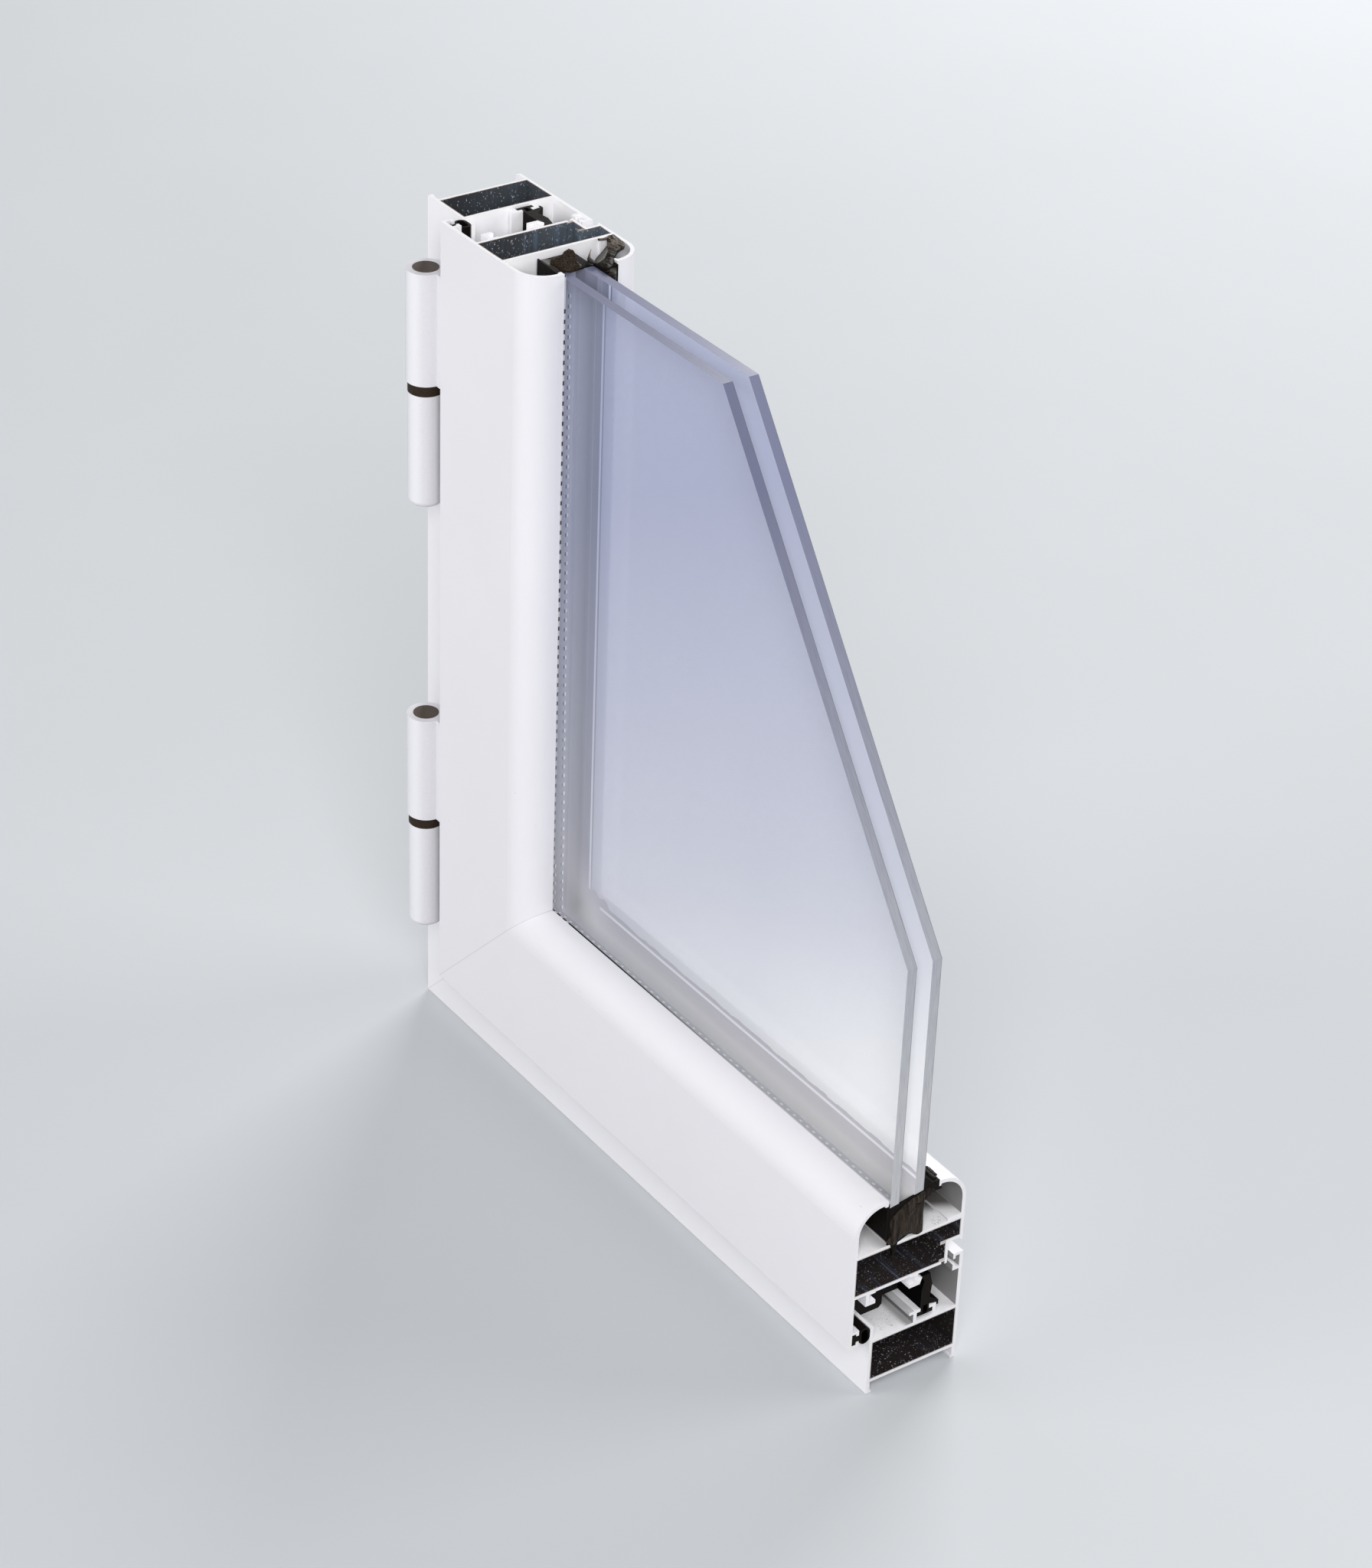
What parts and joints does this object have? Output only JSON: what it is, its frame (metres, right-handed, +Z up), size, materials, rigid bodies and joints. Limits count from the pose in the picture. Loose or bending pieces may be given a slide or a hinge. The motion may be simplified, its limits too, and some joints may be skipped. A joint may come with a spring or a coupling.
{
  "type": "tilt and turn window corner sample",
  "caption": "Mitred corner of an aluminium tilt and turn window, cut to show hollow frame and sash sections, gaskets, sealed glass unit and barrel hinges.",
  "frame": {"origin": "under the middle of the part's footprint, at the level of the sill's feet", "axes": "+Z up along the jamb; +X along the sill, away from the jamb; +Y from the room side to the outside"},
  "size_m": [0.3, 0.0554, 0.3511],
  "materials": {
    "coated_profile": "satin powder coat",
    "hinge_coat": "satin powder coat",
    "gasket_rubber": "matt",
    "unit_glass": "polished",
    "spacer_metal": "matt",
    "sealant": "matt",
    "packer_plastic": "matt",
    "cleat_metal": "mill",
    "pin_steel": "ground",
    "cap_plastic": "matt"
  },
  "bodies": {
    "root": {"frame_sill": "coated_profile", "frame_jamb": "coated_profile", "sash_rail": "coated_profile", "sash_stile": "coated_profile", "bead_rail": "coated_profile", "bead_stile": "coated_profile", "central_seal_sill": "gasket_rubber", "central_seal_jamb": "gasket_rubber", "overlap_seal_rail": "gasket_rubber", "overlap_seal_stile": "gasket_rubber", "near_glazing_seal_rail": "gasket_rubber", "near_glazing_seal_stile": "gasket_rubber", "far_glazing_seal_rail": "gasket_rubber", "far_glazing_seal_stile": "gasket_rubber", "spacer_rail": "spacer_metal", "spacer_stile": "spacer_metal", "edge_seal_rail": "sealant", "edge_seal_stile": "sealant", "glass_pane_near": "unit_glass", "glass_pane_far": "unit_glass", "setting_block_rail": "packer_plastic", "setting_block_stile": "packer_plastic", "cavity_packer_rail": "packer_plastic", "frame_corner_cleat": "cleat_metal", "sash_corner_cleat": "cleat_metal", "hinge_upper_sash_leaf": "hinge_coat", "hinge_upper_frame_leaf": "hinge_coat", "hinge_upper_ring": "cap_plastic", "hinge_upper_cap": "cap_plastic", "hinge_upper_pin": "pin_steel", "hinge_lower_sash_leaf": "hinge_coat", "hinge_lower_frame_leaf": "hinge_coat", "hinge_lower_ring": "cap_plastic", "hinge_lower_cap": "cap_plastic", "hinge_lower_pin": "pin_steel"}
  },
  "joints": []
}
